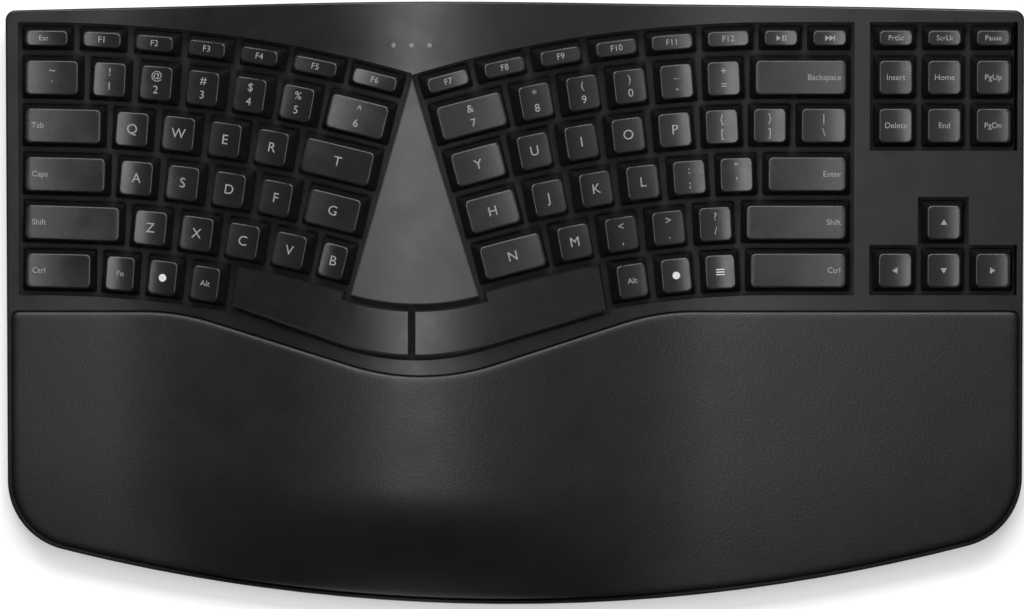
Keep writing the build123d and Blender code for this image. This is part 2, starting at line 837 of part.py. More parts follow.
with BuildPart() as key_deck:
    add(layer(stack_plan.sketch, deck_drop, deck_thickness))
    with Locations(*post_locations):
        add(chimney.part)
    with Locations(*[plane.location for plane in space_planes.values()]):
        add(wire_clip.part)
    with Locations(*post_locations):
        Cylinder(bore_diameter / 2, 4 * deck_drop, mode=Mode.SUBTRACT)
    with BuildSketch():
        with Locations(*deck_screws):
            Circle(screw_hole / 2)
    extrude(amount=far, mode=Mode.SUBTRACT)
save(key_deck, "key_deck")


# Rubber dome sheet: a hollow stud under each key, open below
with BuildSketch() as film_plan:
    add(stack_plan.sketch)
    with Locations(*deck_screws):
        Circle(screw_hole / 2, mode=Mode.SUBTRACT)

dome_spots = []
for plane in dome_planes:
    foot = plane.from_local_coords((0, 0, -dome_sheet_drop))
    dome_spots.append((foot.X, foot.Y))
dome_top_drop = post_reach + dome_gap

with BuildSketch() as between_domes:
    Rectangle(2 * case_width, 2 * case_width)
    with Locations(*dome_spots):
        Circle(dome_diameter / 2, mode=Mode.SUBTRACT)

with BuildPart() as dome_sheet:
    add(layer(film_plan.sketch, dome_top_drop, sheet_under - dome_top_drop))
    add(over_crown(between_domes.sketch, dome_sheet_drop), mode=Mode.SUBTRACT)
    with Locations(*[(x, y, crown(x, y) - dome_top_drop - dome_roof) for x, y in dome_spots]):
        Cylinder(dome_diameter / 2 - dome_wall, 2 * dome_sheet_drop,
                 align=(Align.CENTER, Align.CENTER, Align.MAX), mode=Mode.SUBTRACT)
save(dome_sheet, "dome_sheet")


# Contact film and backing plate
with BuildPart() as membrane:
    add(layer(film_plan.sketch, sheet_under, membrane_thickness))
save(membrane, "membrane")
with BuildPart() as backing_plate:
    add(layer(film_plan.sketch, film_under, plate_thickness))
save(backing_plate, "backing_plate")


# Key caps: tapered shells with a dished top, built once for each size
def key_cap(width, depth):
    """Cap of one key in its own frame, with Z up from the crown."""
    base_height = cap_rise - cap_height
    top_width = width - 2 * cap_side_draft
    top_depth = depth - 2 * cap_end_draft
    roof_share = cap_roof / cap_height
    dish_radius = (top_width ** 2 / 4 + dish_depth ** 2) / (2 * dish_depth)
    with BuildPart() as cap:
        with BuildSketch(Plane.XY.offset(base_height)):
            RectangleRounded(width, depth, cap_base_corner)
        with BuildSketch(Plane.XY.offset(cap_rise)):
            RectangleRounded(top_width, top_depth, cap_top_corner)
        loft()
        with Locations((0, 0, cap_rise + dish_radius - dish_depth)):
            Cylinder(dish_radius, 2 * depth, rotation=(90, 0, 0), mode=Mode.SUBTRACT)
        with BuildSketch(Plane.XY.offset(base_height)):
            RectangleRounded(width - 2 * cap_wall, depth - 2 * cap_wall, cap_base_corner / 2)
        with BuildSketch(Plane.XY.offset(cap_rise - cap_roof)):
            RectangleRounded(top_width - 2 * cap_wall + 2 * cap_side_draft * roof_share,
                             top_depth - 2 * cap_wall + 2 * cap_end_draft * roof_share, cap_base_corner / 2)
        loft(mode=Mode.SUBTRACT)
        with BuildSketch(Plane.XY.offset(-post_reach)):
            with Locations(*post_spots(width + cap_gap)):
                Circle(post_diameter / 2)
        extrude(amount=post_reach + cap_rise - cap_roof + dish_depth / 2)
    return cap.part


caps = {}
for x, y, turn, width, depth in key_cells.values():
    size = (round(width - cap_gap, 2), depth - cap_gap)
    if size not in caps:
        caps[size] = key_cap(*size)

for node_name, members in key_nodes.items():
    with BuildPart() as key_node:
        for m in members:
            size = (round(key_cells[m][3] - cap_gap, 2), key_cells[m][4] - cap_gap)
            with Locations(key_planes[m].location):
                add(caps[size])
    save(key_node, node_name)


# Space bars: curved shells that follow the crown, with two posts and hooks for the wire
lift_angle = math.radians(wire_lift)
lift_y = wire_arm * math.cos(lift_angle)
hook_z = wire_pivot_rise - deck_drop + wire_arm * math.sin(lift_angle)
hook_room = wire_diameter + 2 * wire_clearance
hook_reach = wire_arm - lift_y
hook_y = wire_pivot_y - lift_y - hook_reach / 2

with BuildPart() as space_hooks:
    with BuildSketch(Plane.XY.offset(hook_z - hook_room / 2 - hook_wall)):
        with Locations((-hook_spacing, hook_y), (hook_spacing, hook_y)):
            Rectangle(hook_length, hook_room + hook_reach + 2 * hook_wall)
    extrude(amount=cap_rise - cap_roof / 2 - hook_z + hook_room / 2 + hook_wall)
    with BuildSketch(Plane.YZ.offset(-wire_span)):
        with Locations((hook_y, hook_z)):
            Rectangle(hook_room + hook_reach, hook_room)
    extrude(amount=2 * wire_span, mode=Mode.SUBTRACT)

for side in ("left", "right"):
    with BuildPart() as space_bar:
        add(layer(space_sketch(side, 0), -cap_rise, cap_height))
        chamfer(space_bar.faces().sort_by(Axis.Z)[-1].edges(), length=space_chamfer)
        add(layer(space_sketch(side, cap_wall), cap_roof - cap_rise, cap_height), mode=Mode.SUBTRACT)
        with Locations(*[plane.location for plane in space_posts[side]]):
            with Locations((0, 0, -post_reach)):
                Cylinder(post_diameter / 2, post_reach + cap_rise - cap_roof / 2,
                         align=(Align.CENTER, Align.CENTER, Align.MIN))
        with Locations(space_planes[side].location):
            add(space_hooks.part)
    save(space_bar, f"space_{side}")

    pivot = space_planes[side].from_local_coords((0, wire_pivot_y, wire_pivot_rise - deck_drop))
    wire_plane = Plane(origin=pivot, x_dir=space_planes[side].x_dir,
                       z_dir=space_planes[side].z_dir * math.cos(lift_angle)
                       + space_planes[side].y_dir * math.sin(lift_angle))
    half_span = wire_span / 2
    with BuildPart() as wire:
        with BuildLine(wire_plane) as wire_path:
            FilletPolyline((-half_span - wire_end, 0), (-half_span, 0), (-half_span, -wire_arm),
                           (half_span, -wire_arm), (half_span, 0), (half_span + wire_end, 0), radius=wire_bend)
        with BuildSketch(Plane(origin=wire_path.line @ 0, z_dir=wire_path.line % 0)):
            Circle(wire_diameter / 2)
        sweep()
    save(wire, f"space_{side}_stabiliser")


# Bottom case: a tray with an inner lip, screw columns, battery bay and pockets
floor_top = table_gap + case_floor
lip_outer = top_wall + lip_clearance
tray_inset = lip_outer + lip_wall
bay_floor = table_gap + door_thickness + door_clearance
bay_inner_height = cell_diameter + bay_head_room
frame_length = bay_length + 2 * (door_overlap + bay_wall)
frame_width = bay_width + 2 * (door_overlap + bay_wall) + door_travel
head_room_diameter = screw_head_diameter + 2 * screw_clearance
head_top = table_gap + screw_recess + screw_head_height
board_back_y = back_wall_y - board_back_gap
board_mid_y = (board_front_y + board_back_y) / 2
standoffs = [(board_x + hand * (board_length / 2 - standoff_inset), y)
             for hand in (-1, 1)
             for y in (board_front_y + standoff_inset, board_back_y - standoff_inset)]
foot_pocket_back = foot_axis_y + foot_thickness / 2 + foot_end_clearance
foot_pocket_front = foot_axis_y - foot_length - foot_thickness / 2 - foot_end_clearance
foot_pocket_y = (foot_pocket_back + foot_pocket_front) / 2
foot_pocket_top = foot_axis_z + foot_thickness / 2 + foot_swing_room

with BuildSketch() as foot_pocket_plan:
    with Locations((-foot_x, foot_pocket_y), (foot_x, foot_pocket_y)):
        Rectangle(foot_width + 2 * foot_side_clearance, foot_pocket_back - foot_pocket_front)

with BuildSketch() as rubber_plan:
    with Locations(*rubber_spots):
        RectangleRounded(rubber_length, rubber_width, rubber_corner)

with BuildPart() as bottom_case:
    with BuildSketch(Plane.XY.offset(table_gap)):
        add(case_outline.sketch)
    extrude(amount=parting_height - table_gap, dir=(0, 0, 1))
    chamfer(bottom_case.faces().sort_by(Axis.Z)[0].edges(), length=base_chamfer)
    with BuildSketch(Plane.XY.offset(floor_top)):
        add(inner_outline(tray_inset))
    extrude(amount=far, dir=(0, 0, 1), mode=Mode.SUBTRACT)
    with BuildSketch(Plane.XY.offset(floor_top)):
        add(inner_outline(lip_outer))
        add(inner_outline(tray_inset), mode=Mode.SUBTRACT)
    extrude(amount=parting_height + lip_rise - floor_top, dir=(0, 0, 1))
    add(under_crown(discs(deck_screws, column_diameter), table_gap, stack_under))
    with BuildSketch(Plane.XY.offset(table_gap)):
        with Locations(*palm_screws):
            Circle(column_diameter / 2)
    extrude(amount=palm_joint_height - table_gap)
    with BuildSketch(Plane.XY.offset(table_gap)):
        with Locations(*standoffs):
            Circle(standoff_diameter / 2)
    extrude(amount=board_height - table_gap)
    with BuildSketch(Plane.XY.offset(table_gap)):
        with Locations(*standoffs):
            Circle(board_pin_diameter / 2)
    extrude(amount=board_height + 2 * board_thickness - table_gap)
    with BuildSketch(Plane.XY.offset(table_gap)):
        offset(foot_pocket_plan.sketch, amount=foot_wall, kind=Kind.INTERSECTION)
    extrude(amount=foot_pocket_top + foot_roof - table_gap)
    with BuildSketch(Plane.XY.offset(table_gap)):
        with Locations((bay_x, bay_y - door_travel / 2)):
            Rectangle(frame_length, frame_width)
    extrude(amount=bay_floor + door_ledge - table_gap)
    with BuildSketch(Plane.XY.offset(table_gap)):
        with Locations((bay_x, bay_y)):
            Rectangle(bay_length + 2 * bay_wall, bay_width + 2 * bay_wall)
    extrude(amount=bay_floor + bay_inner_height + bay_wall - table_gap)
    with BuildSketch(Plane.XY.offset(table_gap)):
        with Locations((bay_x, bay_y)):
            Rectangle(bay_length, bay_width)
    extrude(amount=bay_floor + bay_inner_height - table_gap, mode=Mode.SUBTRACT)
    with BuildSketch(Plane.XY.offset(table_gap)):
        with Locations((bay_x, bay_y - door_travel / 2)):
            Rectangle(bay_length + 2 * door_overlap, bay_width + 2 * door_overlap + door_travel)
    extrude(amount=bay_floor - table_gap, mode=Mode.SUBTRACT)
    with BuildSketch(Plane.XY.offset(table_gap + (door_thickness - door_rib_height) / 2 - door_clearance)):
        with Locations((bay_x, bay_y - door_travel / 2)):
            Rectangle(bay_length + 2 * (door_overlap + door_rib), bay_width + 2 * door_overlap + door_travel)
    extrude(amount=door_rib_height + 2 * door_clearance, mode=Mode.SUBTRACT)
    with BuildSketch(Plane.XY.offset(table_gap)):
        add(foot_pocket_plan.sketch)
    extrude(amount=foot_pocket_top - table_gap, mode=Mode.SUBTRACT)
    with BuildSketch(Plane.YZ.offset(-foot_x)):
        with Locations((foot_axis_y, foot_axis_z)):
            Circle(foot_pin_diameter / 2 + foot_pin_clearance)
    pin_reach = foot_width / 2 + foot_pin_length + foot_pin_clearance
    extrude(amount=pin_reach, both=True, mode=Mode.SUBTRACT)
    with BuildSketch(Plane.YZ.offset(foot_x)):
        with Locations((foot_axis_y, foot_axis_z)):
            Circle(foot_pin_diameter / 2 + foot_pin_clearance)
    extrude(amount=pin_reach, both=True, mode=Mode.SUBTRACT)
    with BuildSketch(Plane.XY.offset(table_gap)):
        add(rubber_plan.sketch)
    extrude(amount=rubber_recess, mode=Mode.SUBTRACT)
    with BuildSketch(Plane.XY.offset(table_gap)):
        with Locations(*deck_screws, *palm_screws):
            Circle(head_room_diameter / 2)
    extrude(amount=head_top - table_gap, mode=Mode.SUBTRACT)
    with BuildSketch(Plane.XY.offset(table_gap)):
        with Locations(*deck_screws, *palm_screws):
            Circle(screw_hole / 2)
    extrude(amount=far, mode=Mode.SUBTRACT)
save(bottom_case, "bottom_case")


# Screws from below into the bosses of the top case
with BuildPart() as case_screws:
    for x, y in deck_screws + palm_screws:
        tip_height = crown(x, y) - pad_thickness - screw_grip - screw_tip_room
        with Locations((x, y, head_top - screw_head_height / 2)):
            Cylinder(screw_diameter / 2, tip_height - head_top + screw_head_height / 2,
                     align=(Align.CENTER, Align.CENTER, Align.MIN))
    with BuildSketch(Plane.XY.offset(head_top - screw_head_height)):
        with Locations(*deck_screws, *palm_screws):
            Circle(screw_head_diameter / 2)
    extrude(amount=screw_head_height)
    with BuildSketch(Plane.XY.offset(head_top - screw_head_height)):
        with Locations(*deck_screws, *palm_screws):
            Rectangle(screw_slot_length, screw_slot_width)
            Rectangle(screw_slot_width, screw_slot_length)
    extrude(amount=screw_slot_depth, mode=Mode.SUBTRACT)
save(case_screws, "case_screws")


# Rubber pads under the bottom case
with BuildPart() as rubber_pads:
    with BuildSketch():
        add(rubber_plan.sketch)
    extrude(amount=table_gap + rubber_recess)
save(rubber_pads, "rubber_pads")


# Battery door, which slides to the front in its grooves
door_width = bay_width + 2 * door_overlap - 2 * door_clearance
with BuildPart() as battery_door:
    with BuildSketch(Plane.XY.offset(table_gap)):
        with Locations((bay_x, bay_y)):
            Rectangle(bay_length + 2 * door_overlap - 2 * door_clearance, door_width)
    extrude(amount=door_thickness)
    with BuildSketch(Plane.XY.offset(table_gap + (door_thickness - door_rib_height) / 2)):
        with Locations((bay_x, bay_y)):
            Rectangle(bay_length + 2 * (door_overlap + door_rib - door_clearance), door_width)
    extrude(amount=door_rib_height)
    with BuildSketch(Plane.XY.offset(table_gap)):
        with Locations((bay_x, bay_y - door_width / 4)):
            with GridLocations(0, door_grip_pitch, 1, 3):
                Rectangle(door_grip_length, door_grip_width)
    extrude(amount=door_grip_depth, mode=Mode.SUBTRACT)
save(battery_door, "battery_door")


# Two cells, head to tail, and their contacts
cell_z = bay_floor + bay_head_room / 2 + cell_diameter / 2
cell_y = bay_width / 4
bay_end = bay_length / 2
plate_face = bay_end - contact_thickness
cell_tip = plate_face - contact_bump - cell_play

with BuildPart() as batteries:
    for hand in (-1, 1):
        with BuildSketch(Plane.YZ.offset(bay_x + hand * cell_tip)):
            with Locations((bay_y + hand * cell_y, cell_z)):
                Circle(cell_nub_diameter / 2)
        extrude(amount=-hand * (cell_nub + 1))
        with BuildSketch(Plane.YZ.offset(bay_x + hand * (cell_tip - cell_nub))):
            with Locations((bay_y + hand * cell_y, cell_z)):
                Circle(cell_diameter / 2)
        extrude(amount=-hand * cell_length)
save(batteries, "batteries")

spring_length = 2 * plate_face - contact_bump - 2 * cell_play - cell_nub - cell_length - spring_wire
with BuildPart() as battery_contacts:
    for hand in (-1, 1):
        with BuildSketch(Plane.YZ.offset(bay_x + hand * bay_end)):
            with Locations((bay_y - cell_y, cell_z), (bay_y + cell_y, cell_z)):
                Rectangle(contact_width, contact_height)
        extrude(amount=-hand * contact_thickness)
        with BuildSketch(Plane.YZ.offset(bay_x + hand * plate_face)):
            with Locations((bay_y + hand * cell_y, cell_z)):
                Circle(cell_nub_diameter / 2)
        extrude(amount=-hand * contact_bump)
        with BuildLine() as coil:
            Helix(spring_length / spring_turns, spring_length, spring_radius,
                  center=(bay_x - hand * (plate_face - spring_wire / 2), bay_y + hand * cell_y, cell_z),
                  direction=(hand, 0, 0))
        with BuildSketch(Plane(origin=coil.line @ 0, z_dir=coil.line % 0)):
            Circle(spring_wire / 2)
        sweep(path=coil.line)
save(battery_contacts, "battery_contacts")


# Circuit board with its chips and the switch housing
switch_plate_y = back_wall_y - switch_gap - switch_plate_thickness
with BuildPart() as circuit_board:
    with BuildSketch(Plane.XY.offset(board_height)):
        with Locations((board_x, board_mid_y)):
            Rectangle(board_length, board_back_y - board_front_y)
        with Locations(*standoffs):
            Circle(board_pin_diameter / 2 + board_pin_clearance, mode=Mode.SUBTRACT)
    extrude(amount=board_thickness)
    board_top = board_height + board_thickness
    with BuildSketch(Plane.XY.offset(board_top)):
        with Locations((board_x, board_mid_y)):
            Rectangle(chip_size, chip_size)
    extrude(amount=chip_height)
    with BuildSketch(Plane.XY.offset(board_top)):
        with Locations((board_x + board_length / 4, board_mid_y)):
            Rectangle(radio_length, radio_width)
    extrude(amount=radio_height)
    housing_front = switch_plate_y - switch_gap - switch_housing_depth
    with BuildSketch(Plane.XY.offset(board_top)):
        with Locations((switch_x, housing_front + switch_housing_depth / 2)):
            Rectangle(switch_housing_width, switch_housing_depth)
    extrude(amount=switch_height + switch_plate_height / 2 - board_top)
    with BuildSketch(Plane.XZ.offset(-switch_plate_y)):
        with Locations((switch_x, switch_height)):
            Rectangle(switch_stem_width + switch_travel + 2 * switch_gap, switch_stem_height + 2 * switch_gap)
    extrude(amount=switch_gap + switch_stem_length + switch_gap, mode=Mode.SUBTRACT)
save(circuit_board, "circuit_board")


# Power switch: a slider behind the back wall with a nub through the slot
slider_x = switch_x - switch_travel / 2
with BuildPart() as power_switch:
    with BuildSketch(Plane.XZ.offset(-switch_plate_y)):
        with Locations((slider_x, switch_height)):
            Rectangle(switch_plate_width, switch_plate_height)
    extrude(amount=-switch_plate_thickness)
    with BuildSketch(Plane.XZ.offset(-switch_plate_y)):
        with Locations((slider_x, switch_height)):
            Rectangle(switch_nub_width, switch_nub_height)
    extrude(amount=-(back_bow_y + switch_nub_stand - switch_plate_y))
    with BuildSketch(Plane.XZ.offset(-switch_plate_y)):
        with Locations((slider_x, switch_height)):
            Rectangle(switch_stem_width, switch_stem_height)
    extrude(amount=switch_stem_length)
save(power_switch, "power_switch")


# Receiver in its sleeve
with BuildPart() as usb_receiver:
    with BuildSketch(Plane.XZ.offset(-back_bow_y - receiver_stand)):
        with Locations((receiver_x, receiver_z)):
            RectangleRounded(receiver_width, receiver_height, receiver_corner)
    extrude(amount=receiver_cap_length)
    with BuildSketch(Plane.XZ.offset(-back_bow_y - receiver_stand + receiver_cap_length)):
        with Locations((receiver_x, receiver_z)):
            Rectangle(receiver_plug_width, receiver_plug_height)
    extrude(amount=receiver_plug_length)
save(usb_receiver, "usb_receiver")


# Folding rear feet with their pins
for hand, label in ((-1, "rear_foot_left"), (1, "rear_foot_right")):
    with BuildPart() as foot:
        with BuildSketch(Plane.YZ.offset(hand * foot_x)):
            with Locations((foot_axis_y - foot_length / 2, foot_axis_z)):
                SlotCenterToCenter(foot_length, foot_thickness)
        extrude(amount=foot_width / 2, both=True)
        with BuildSketch(Plane.YZ.offset(hand * foot_x)):
            with Locations((foot_axis_y, foot_axis_z)):
                Circle(foot_pin_diameter / 2)
        extrude(amount=foot_width / 2 + foot_pin_length, both=True)
    save(foot, label)
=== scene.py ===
import math
import bpy
from mathutils import Matrix, Vector
from mathutils.geometry import delaunay_2d_cdt


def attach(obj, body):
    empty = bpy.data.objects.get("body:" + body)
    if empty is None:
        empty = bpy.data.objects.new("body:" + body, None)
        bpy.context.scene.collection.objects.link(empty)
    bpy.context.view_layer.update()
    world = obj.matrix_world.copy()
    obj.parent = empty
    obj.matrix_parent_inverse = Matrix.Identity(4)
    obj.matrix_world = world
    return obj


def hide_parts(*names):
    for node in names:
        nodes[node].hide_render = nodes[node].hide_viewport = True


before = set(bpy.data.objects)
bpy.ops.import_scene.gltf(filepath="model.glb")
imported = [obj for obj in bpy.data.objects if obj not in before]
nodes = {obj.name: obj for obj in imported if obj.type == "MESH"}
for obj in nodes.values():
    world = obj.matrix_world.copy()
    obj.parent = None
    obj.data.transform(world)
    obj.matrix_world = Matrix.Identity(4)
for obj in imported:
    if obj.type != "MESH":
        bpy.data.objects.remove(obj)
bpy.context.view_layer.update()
MM = 0.001

# Crown of the case, in millimetres, with the same values as the case itself

front_middle_x = -2.5
front_middle_y = -118.1
front_arc_radius = 720.0
side_height = 20.0
ridge_rise = 17.0
ridge_x = -40.2
ridge_run = 118.0
deck_slope = 0.055
side_front_drop = 1.0
ridge_front_drop = 20.0
roll_length = 45.0


def crown(x, y):
    """Height of the upper surface over the table."""
    reach = min(1.0, abs(x - ridge_x) / ridge_run)
    swell = 0.5 * (1.0 + math.cos(math.pi * reach))
    level = side_height + ridge_rise * swell + deck_slope * y
    edge = front_middle_y + front_arc_radius - math.sqrt(front_arc_radius ** 2 - (x - front_middle_x) ** 2)
    inland = min(1.0, (y - edge) / roll_length)
    front_drop = side_front_drop + (ridge_front_drop - side_front_drop) * swell
    return level - front_drop * (1.0 - inland) ** 2


def seat(x, y, turn, tilt_x, tilt_y):
    """Matrix from a key's own frame in millimetres to the row frame in metres."""
    step = 0.5
    rise_x = (crown(tilt_x + step, tilt_y) - crown(tilt_x - step, tilt_y)) / (2 * step)
    rise_y = (crown(tilt_x, tilt_y + step) - crown(tilt_x, tilt_y - step)) / (2 * step)
    run_x = math.cos(math.radians(turn))
    run_y = math.sin(math.radians(turn))
    z_dir = Vector((-rise_x, -rise_y, 1)).normalized()
    x_dir = Vector((run_x, run_y, rise_x * run_x + rise_y * run_y))
    x_dir = (x_dir - z_dir * x_dir.dot(z_dir)).normalized()
    y_dir = z_dir.cross(x_dir)
    place = Matrix((x_dir, y_dir, z_dir)).transposed().to_4x4()
    place.translation = Vector((x, y, crown(x, y)))
    return Matrix.Scale(MM, 4) @ place


# Key layout: each half is a set of arcs round one centre, straight further out. Every row lists its keys from
# the outer end inward, with their widths; the innermost key takes what is left up to the centre panel.

centres = {"left": (-188.0, -429.3), "right": (101.7, -371.2)}
outer_x = {"left": -194.3, "right": 132.7}
fans = {"left": 15.9, "right": 17.1}
row_y = {"function": 104.6, "number": 89.2, "upper": 70.4, "home": 51.4, "lower": 32.5, "bottom": 13.7}
row_depth = 19.0
function_depth = 11.6
panel_margin = 1.0
cap_gap = 2.0
letter = 18.75
nav_pitch = 19.05
nav_first_x = 149.1
left_function = 21.0
right_function = 22.3
left_small = 17.2
right_small = 17.7
rows = {
    ("left", "function"): [("esc", 22.4), ("f1", left_function), ("f2", left_function), ("f3", left_function),
                           ("f4", left_function), ("f5", 23.4), ("f6", None)],
    ("left", "number"): [("grave", 26.4), ("1", letter), ("2", letter), ("3", letter), ("4", letter),
                         ("5", letter), ("6", None)],
    ("left", "upper"): [("tab", 35.2), ("q", letter), ("w", letter), ("e", letter), ("r", letter),
                        ("t", None)],
    ("left", "home"): [("caps", 36.8), ("a", letter), ("s", letter), ("d", letter), ("f", letter),
                       ("g", None)],
    ("left", "lower"): [("shift_left", 42.3), ("z", letter), ("x", letter), ("c", letter), ("v", letter),
                        ("b", None)],
    ("left", "bottom"): [("ctrl_left", 31.0), ("fn", left_small), ("system_left", left_small),
                         ("alt_left", left_small)],
    ("right", "function"): [("media_right", nav_pitch), ("media_left", nav_pitch), ("f12", right_function),
                            ("f11", right_function), ("f10", right_function), ("f9", right_function),
                            ("f8", right_function), ("f7", None)],
    ("right", "number"): [("backspace", 41.6), ("equals", letter), ("minus", letter), ("0", letter),
                          ("9", letter), ("8", letter), ("7", None)],
    ("right", "upper"): [("backslash", 23.5), ("bracket_right", letter), ("bracket_left", letter),
                         ("p", letter), ("o", letter), ("i", letter), ("u", letter), ("y", None)],
    ("right", "home"): [("enter", 36.5), ("quote", letter), ("semicolon", letter), ("l", letter),
                        ("k", letter), ("j", letter), ("h", None)],
    ("right", "lower"): [("shift_right", 45.0), ("slash", letter), ("period", letter), ("comma", letter),
                         ("m", letter), ("n", None)],
    ("right", "bottom"): [("ctrl_right", 43.3), ("menu", right_small), ("system_right", right_small),
                          ("alt_right", right_small)],
}

# Keys on the right, as (column, row)
nav_keys = {"print": (0, "function"), "scroll": (1, "function"), "pause": (2, "function"),
            "insert": (0, "number"), "home": (1, "number"), "page_up": (2, "number"),
            "delete": (0, "upper"), "end": (1, "upper"), "page_down": (2, "upper"),
            "arrow_up": (1, "lower"), "arrow_left": (0, "bottom"), "arrow_down": (1, "bottom"),
            "arrow_right": (2, "bottom")}

# Nodes that hold more than one key
columns = {
    "keys_f1_1_q_a_z": ["f1", "1", "q", "a", "z"],
    "keys_f2_2_w_s_x": ["f2", "2", "w", "s", "x"],
    "keys_f3_3_e_d_c": ["f3", "3", "e", "d", "c"],
    "keys_f4_4_r_f_v": ["f4", "4", "r", "f", "v"],
    "keys_f5_5_t_g_b": ["f5", "5", "t", "g", "b"],
    "keys_f6_6": ["f6", "6"],
    "keys_f7_7_y_h_n": ["f7", "7", "y", "h", "n"],
    "keys_f8_8_u_j_m": ["f8", "8", "u", "j", "m"],
    "keys_f9_9_i_k_comma": ["f9", "9", "i", "k", "comma"],
    "keys_f10_0_o_l_period": ["f10", "0", "o", "l", "period"],
    "keys_f11_minus_p_semicolon_slash": ["f11", "minus", "p", "semicolon", "slash"],
    "keys_f12_equals_brackets_quote": ["f12", "equals", "bracket_left", "bracket_right", "quote"],
    "keys_media": ["media_left", "media_right"],
    "keys_print_insert_delete": ["print", "insert", "delete"],
    "keys_scroll_home_end": ["scroll", "home", "end"],
    "keys_pause_page_up_page_down": ["pause", "page_up", "page_down"],
}

# Place, turn and cap size of each key: x, y, degrees, width, depth
cap_depths = {row: (function_depth if row == "function" else row_depth) - cap_gap for row in row_y}
cells = {}
for (side, row), row_keys in rows.items():
    radius = row_y[row] - centres[side][1]
    inward = 1 if side == "left" else -1
    at = inward * (outer_x[side] - centres[side][0])
    for name, width in row_keys:
        end = math.radians(fans[side]) * radius - panel_margin if width is None else at + width
        middle = (at + end) / 2
        angle = max(0.0, middle) / radius
        x = centres[side][0] + inward * (radius * math.sin(angle) + min(0.0, middle))
        y = centres[side][1] + radius * math.cos(angle)
        cells[name] = (x, y, -inward * math.degrees(angle), end - at - cap_gap, cap_depths[row])
        at = end
for name, (column, row) in nav_keys.items():
    cells[name] = (nav_first_x + column * nav_pitch, row_y[row], 0.0, nav_pitch - cap_gap, cap_depths[row])
grouped = [name for members in columns.values() for name in members]
key_nodes = {"key_" + name: [name] for name in cells if name not in grouped}
key_nodes.update(columns)


# Materials

def material(name, colour, roughness, specular=0.5, metallic=0.0):
    """A material with its constants on the shader."""
    m = bpy.data.materials.new(name)
    m.use_nodes = True
    m.diffuse_color = (*colour, 1.0)
    shader = m.node_tree.nodes["Principled BSDF"]
    shader.inputs["Base Color"].default_value = (*colour, 1.0)
    shader.inputs["Roughness"].default_value = roughness
    shader.inputs["Specular IOR Level"].default_value = specular
    shader.inputs["Metallic"].default_value = metallic
    return m


def noise(m, scale, detail=4.0, rough=0.55, stretch=(1.0, 1.0, 1.0)):
    """Noise pattern that is fixed to the object, with its scale per metre."""
    tree = m.node_tree
    coords = tree.nodes.new("ShaderNodeTexCoord")
    mapping = tree.nodes.new("ShaderNodeMapping")
    mapping.inputs["Scale"].default_value = stretch
    tex = tree.nodes.new("ShaderNodeTexNoise")
    tex.inputs["Scale"].default_value = scale
    tex.inputs["Detail"].default_value = detail
    tex.inputs["Roughness"].default_value = rough
    tree.links.new(coords.outputs["Object"], mapping.inputs["Vector"])
    tree.links.new(mapping.outputs["Vector"], tex.inputs["Vector"])
    return tex.outputs["Fac"]


def pebbles(m, scale):
    """Pattern of rounded cells, as on leather."""
    tree = m.node_tree
    coords = tree.nodes.new("ShaderNodeTexCoord")
    tex = tree.nodes.new("ShaderNodeTexVoronoi")
    tex.feature = "SMOOTH_F1"
    tex.inputs["Scale"].default_value = scale
    tree.links.new(coords.outputs["Object"], tex.inputs["Vector"])
    return tex.outputs["Distance"]


def tint(m, fac, low, high):
    """Base colour that runs from low to high with the pattern."""
    tree = m.node_tree
    ramp = tree.nodes.new("ShaderNodeValToRGB")
    ramp.color_ramp.elements[0].position = 0.3
    ramp.color_ramp.elements[1].position = 0.7
    ramp.color_ramp.elements[0].color = (*low, 1.0)
    ramp.color_ramp.elements[1].color = (*high, 1.0)
    tree.links.new(fac, ramp.inputs["Fac"])
    tree.links.new(ramp.outputs["Color"], tree.nodes["Principled BSDF"].inputs["Base Color"])


def gloss(m, fac, low, high):
    """Roughness that runs from low to high with the pattern."""
    tree = m.node_tree
    span = tree.nodes.new("ShaderNodeMapRange")
    span.inputs["From Min"].default_value = 0.25
    span.inputs["From Max"].default_value = 0.75
    span.inputs["To Min"].default_value = low
    span.inputs["To Max"].default_value = high
    tree.links.new(fac, span.inputs["Value"])
    tree.links.new(span.outputs["Result"], tree.nodes["Principled BSDF"].inputs["Roughness"])


def bump(m, fac, strength, depth):
    """Relief of that depth in metres."""
    tree = m.node_tree
    shader = tree.nodes["Principled BSDF"]
    node = tree.nodes.new("ShaderNodeBump")
    node.inputs["Strength"].default_value = strength
    node.inputs["Distance"].default_value = depth
    tree.links.new(fac, node.inputs["Height"])
    if shader.inputs["Normal"].links:
        tree.links.new(shader.inputs["Normal"].links[0].from_socket, node.inputs["Normal"])
    tree.links.new(node.outputs["Normal"], shader.inputs["Normal"])


def grained(name, grey, roughness, specular, grain=1800.0, depth=0.00005):
    """Moulded plastic with a fine spark-eroded grain."""
    low = (grey * 0.88, grey * 0.88, grey * 0.9)
    high = (grey * 1.1, grey * 1.1, grey * 1.12)
    m = material(name, (grey, grey, grey * 1.02), roughness, specular)
    tint(m, noise(m, 35.0, 5.0), low, high)
    gloss(m, noise(m, 90.0, 3.0), roughness - 0.05, roughness + 0.06)
    bump(m, noise(m, grain, 2.0, 0.6), 0.35, depth)
    return m


